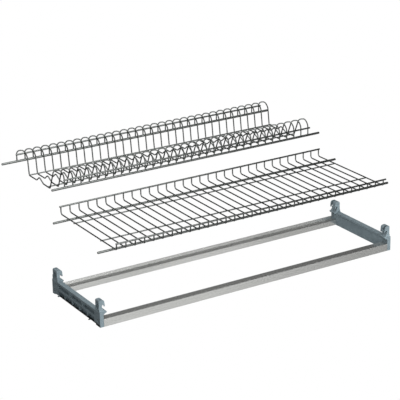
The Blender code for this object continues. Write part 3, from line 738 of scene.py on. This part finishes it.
for side, outer_x, inward in (("left", left_face, 1), ("right", right_face, -1)):
    builder = merged_copy(side + "_end_piece")
    sink_pockets(builder, outer_x, inward)
    sweep_front_post(builder)
    add_web(builder, outer_x, inward)
    rounded_piece(builder, side + "_end_piece", "moulded_" + side + "_end", plastic,
                  MOULD_ROUND, MOULD_ANGLE)
print("two moulded end pieces")

# %% [markdown]
# The screws sit sunk in the end pieces. A screw is turned, so its outline is drawn once and spun round its
# axis. The cross in its head could be cut by a Boolean; here four pairs of slices mark the cross on the
# domed head, and one inset of those faces sinks it with tapered walls, as a punch does.

# %% Screws
SCREW_STEPS = 32
SCREW_ANGLE = math.radians(30)
DOME_STEPS = 5
DOME_SHARE = 0.75
SHANK_RADIUS = 1.6 * MM
HEAD_HEIGHT = 2.2 * MM
CROSS_HALF_WIDTH = 0.42 * MM
CROSS_REACH = 1.9 * MM
CROSS_DEPTH = 1.0 * MM
CROSS_TAPER = 0.16 * MM


def head_faces(builder, top, inward, dome):
    """The faces of the domed head."""
    return [face for face in builder.faces if (face.calc_center_median().x - top) * inward < dome]


def make_screw(node, inward):
    """A turned screw with a cross recess, in the place of a node."""
    low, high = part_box(node)
    middle = (low + high) / 2
    top, tip = (low.x, high.x) if inward > 0 else (high.x, low.x)
    radius = (high.y - low.y) / 2
    dome = HEAD_HEIGHT * DOME_SHARE
    turns = [math.pi / 2 * step / DOME_STEPS for step in range(DOME_STEPS + 1)]
    outline = [(dome * (1 - math.cos(turn)), radius * math.sin(turn)) for turn in turns]
    length = abs(tip - top)
    outline += [(HEAD_HEIGHT, radius), (HEAD_HEIGHT, SHANK_RADIUS)]
    outline += [(length - SHANK_RADIUS, SHANK_RADIUS), (length, 0)]
    builder = bmesh.new()
    rim = [builder.verts.new((top + inward * along, middle.y + away, middle.z)) for along, away in outline]
    edges = [builder.edges.new(pair) for pair in zip(rim, rim[1:])]
    bmesh.ops.spin(builder, geom=rim + edges, cent=middle, axis=(1, 0, 0), dvec=(0, 0, 0), angle=2 * math.pi,
                   steps=SCREW_STEPS, use_merge=True, use_duplicate=False)
    bmesh.ops.remove_doubles(builder, verts=builder.verts[:], dist=SMALLEST_FEED)
    bmesh.ops.recalc_face_normals(builder, faces=builder.faces[:])
    for axis in (Vector((0, 1, 0)), Vector((0, 0, 1))):
        for place in (-CROSS_REACH, -CROSS_HALF_WIDTH, CROSS_HALF_WIDTH, CROSS_REACH):
            faces = head_faces(builder, top, inward, dome)
            around = list({item for face in faces for item in list(face.verts) + list(face.edges)})
            bmesh.ops.bisect_plane(builder, geom=faces + around, dist=SMALLEST_FEED,
                                   plane_co=middle + axis * place, plane_no=axis)
    cross = []
    for face in head_faces(builder, top, inward, dome):
        away = face.calc_center_median() - middle
        near, far = sorted((abs(away.y), abs(away.z)))
        if near < CROSS_HALF_WIDTH and far < CROSS_REACH:
            cross.append(face)
    bmesh.ops.inset_region(builder, faces=cross, thickness=CROSS_TAPER, depth=-CROSS_DEPTH,
                           use_even_offset=True)
    piece = finish_piece("turned_" + node, builder, steel, "frame", SCREW_ANGLE)
    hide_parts(node)
    return len(cross)


for side, inward in (("left", 1), ("right", -1)):
    for end in ("front", "rear"):
        sunk = make_screw(f"{side}_{end}_screw", inward)
print("four screws,", sunk, "faces sunk in each cross")

# %% [markdown]
# The floor. The photograph has no floor line and no shadow, so the floor is a sheet that glows exactly as
# white as the background and takes no light itself. A brighter floor would eat into the thin wires, because
# a pixel that is half wire and half glare is cut off at white.

# %% Floor
FLOOR_Z = -0.45
FLOOR_SIZE = 16

floor_builder = bmesh.new()
bmesh.ops.create_grid(floor_builder, x_segments=1, y_segments=1, size=FLOOR_SIZE / 2,
                      matrix=Matrix.Translation((CAMERA_TARGET.x, 0, FLOOR_Z)))
floor_mesh = bpy.data.meshes.new("floor")
floor_builder.to_mesh(floor_mesh)
floor_builder.free()
floor = bpy.data.objects.new("floor", floor_mesh)
bpy.context.scene.collection.objects.link(floor)
floor_paint, tree, shader = new_material("floor paint", base=(0, 0, 0), roughness=1.0, metallic=0.0)
shader.inputs["Specular IOR Level"].default_value = 0
shader.inputs["Emission Color"].default_value = (1, 1, 1, 1)
shader.inputs["Emission Strength"].default_value = 1.0
floor_mesh.materials.append(floor_paint)
floor.visible_glossy = False
floor.visible_diffuse = False
print("floor", FLOOR_SIZE, "m wide")

# %% [markdown]
# The world. What polished metal shows is the room round it. A picture of a studio could light it, but here
# the room is drawn with nodes, so that each panel has its place and its softness from a few numbers. The
# world has three faces: white for the camera, a soft sky for matte surfaces, and for reflections a dark
# room with soft-edged panels. A panel is a product of smooth steps along the axes of the direction.

# %% World
world = bpy.data.worlds.new("studio")
bpy.context.scene.world = world
world.use_nodes = True
tree = world.node_tree
tree.nodes.clear()
where = tree.nodes.new("ShaderNodeTexCoord")
parts = tree.nodes.new("ShaderNodeSeparateXYZ")
tree.links.new(where.outputs["Generated"], parts.inputs["Vector"])
rays = tree.nodes.new("ShaderNodeLightPath")


def edge(axis, dark, bright):
    """A soft edge of a panel: 0 where the direction's X, Y or Z is at dark, 1 where it is at bright."""
    return smooth_step(tree, parts.outputs[axis], dark, bright)


def soft_panel(strength, *edges):
    """A panel in the room: the product of its soft edges and its strength."""
    total = edges[0]
    for item in edges[1:]:
        total = math_node(tree, "MULTIPLY", total, item)
    return math_node(tree, "MULTIPLY", total, strength)


def backdrop(strength, colour=(1, 1, 1)):
    """A background shader of a colour and a strength, which may be a socket."""
    node = tree.nodes.new("ShaderNodeBackground")
    node.inputs["Color"].default_value = (*colour, 1)
    if isinstance(strength, (int, float)):
        node.inputs["Strength"].default_value = strength
    else:
        tree.links.new(strength, node.inputs["Strength"])
    return node.outputs["Background"]


def choose(ray, other, chosen):
    """The second shader for one kind of ray, and the first for all others."""
    node = tree.nodes.new("ShaderNodeMixShader")
    tree.links.new(rays.outputs[ray], node.inputs["Fac"])
    tree.links.new(other, node.inputs[1])
    tree.links.new(chosen, node.inputs[2])
    return node.outputs["Shader"]


# %% [markdown]
# The panels. Each one has its brightness and its edges. The two strips are where the rods look from the
# photo's angle, the bar, lip and ledge panels are where the flat faces look, and the caps, skirts and walls
# keep the metal bright from the other sides.

# %% Panels of the room
DARK_ROOM = 0.03
ROD_GLOW = 1.95
BAR_GLOW = 0.82
LIP_GLOW = 0.54
LEDGE_GLOW = 0.12
CAP_GLOW = 0.5
SKIRT_GLOW = 0.7
WALL_GLOW = 0.3
SKY_LIGHT = 0.62
GROUND_LIGHT = 0.04
WARM_WHITE = (1, 1, 0.99)

above = edge("Z", -0.15, 0.05)
not_left = edge("X", 0.26, 0.34)
not_rear = edge("Y", 0.72, 0.62)
forward = edge("Y", -0.55, -0.7)
far_left = edge("X", 0.26, 0.16)
far_right = edge("X", 0.62, 0.70)
on_rods = (edge("X", 0.51, 0.405), not_left, above)
below = (edge("Z", -0.31, -0.27), edge("Z", -0.08, -0.16))
panels = [
    soft_panel(ROD_GLOW, edge("Y", -0.85, -0.78), edge("Y", -0.46, -0.58), *on_rods),
    soft_panel(ROD_GLOW, edge("Y", -0.14, 0.0), edge("Y", 0.34, 0.18), *on_rods),
    soft_panel(BAR_GLOW, edge("X", 0.56, 0.50), not_left, forward,
               edge("Z", -0.55, -0.45), edge("Z", -0.18, -0.26)),
    soft_panel(LIP_GLOW, edge("X", 0.54, 0.49), not_left, forward,
               edge("Z", 0.08, 0.16), edge("Z", 0.42, 0.32)),
    soft_panel(LEDGE_GLOW, edge("X", 0.58, 0.50), edge("Y", 0.60, 0.72),
               edge("Z", 0.18, 0.28), edge("Z", 0.52, 0.42)),
    soft_panel(CAP_GLOW, edge("Y", -0.86, -0.93), above),
    soft_panel(CAP_GLOW, edge("Y", 0.90, 0.95), above),
    soft_panel(CAP_GLOW, edge("X", -0.84, -0.92), above),
    soft_panel(CAP_GLOW, edge("X", 0.84, 0.92), above),
    soft_panel(CAP_GLOW, edge("Z", 0.90, 0.97)),
    soft_panel(SKIRT_GLOW, far_left, edge("Y", -0.3, -0.45), *below),
    soft_panel(SKIRT_GLOW, far_right, edge("Y", -0.3, -0.45), *below),
    soft_panel(SKIRT_GLOW, edge("Y", 0.48, 0.56), edge("Y", 0.76, 0.70), *below),
    soft_panel(SKIRT_GLOW, edge("Y", 0.86, 0.92), *below),
    soft_panel(WALL_GLOW, far_left, not_rear, edge("Z", -0.10, 0.05)),
    soft_panel(WALL_GLOW, far_right, not_rear, edge("Z", -0.10, 0.05)),
]
room = DARK_ROOM
for glow in panels:
    room = math_node(tree, "ADD", glow, room)
sky = math_node(tree, "ADD", soft_panel(SKY_LIGHT, edge("Z", -0.5, 0.6)), GROUND_LIGHT)
lit = choose("Is Diffuse Ray", backdrop(room, WARM_WHITE), backdrop(sky))
output = tree.nodes.new("ShaderNodeOutputWorld")
tree.links.new(choose("Is Camera Ray", lit, backdrop(1.0)), output.inputs["Surface"])
print(len(panels), "panels in the room")

# %% [markdown]
# Three lamps shape the plastic, which sees only the soft sky: one in front, one above, and a small one for
# the inner face of the right end piece. They are area lamps, because a large face gives soft shading, and
# they are hidden from reflections, so that metal shows the panels alone. The Standard view shows the
# colours as they are computed.

# %% Lamps
def lamp(name, place, aim, size, power):
    """A soft lamp that faces a point."""
    data = bpy.data.lights.new(name, "AREA")
    data.shape = "RECTANGLE"
    data.size, data.size_y = size
    data.energy = power
    light = bpy.data.objects.new(name, data)
    bpy.context.scene.collection.objects.link(light)
    direction = Vector(aim) - Vector(place)
    light.matrix_world = Matrix.Translation(place) @ direction.to_track_quat("-Z", "Y").to_matrix().to_4x4()
    light.visible_glossy = False
    return light


lamp("front_panel", place=(0.6, -3.0, 0.1), aim=CAMERA_TARGET, size=(2.6, 1.4), power=110)
lamp("top_panel", place=(0.0, -0.4, 2.6), aim=CAMERA_TARGET, size=(1.6, 1.2), power=30)
inner_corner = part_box("right_end_piece")[0]
lamp("right_end_fill", place=(0.3, -0.05, -0.2), aim=inner_corner, size=(0.3, 0.3), power=0.8)
bpy.context.scene.view_settings.view_transform = "Standard"
print("three lamps")
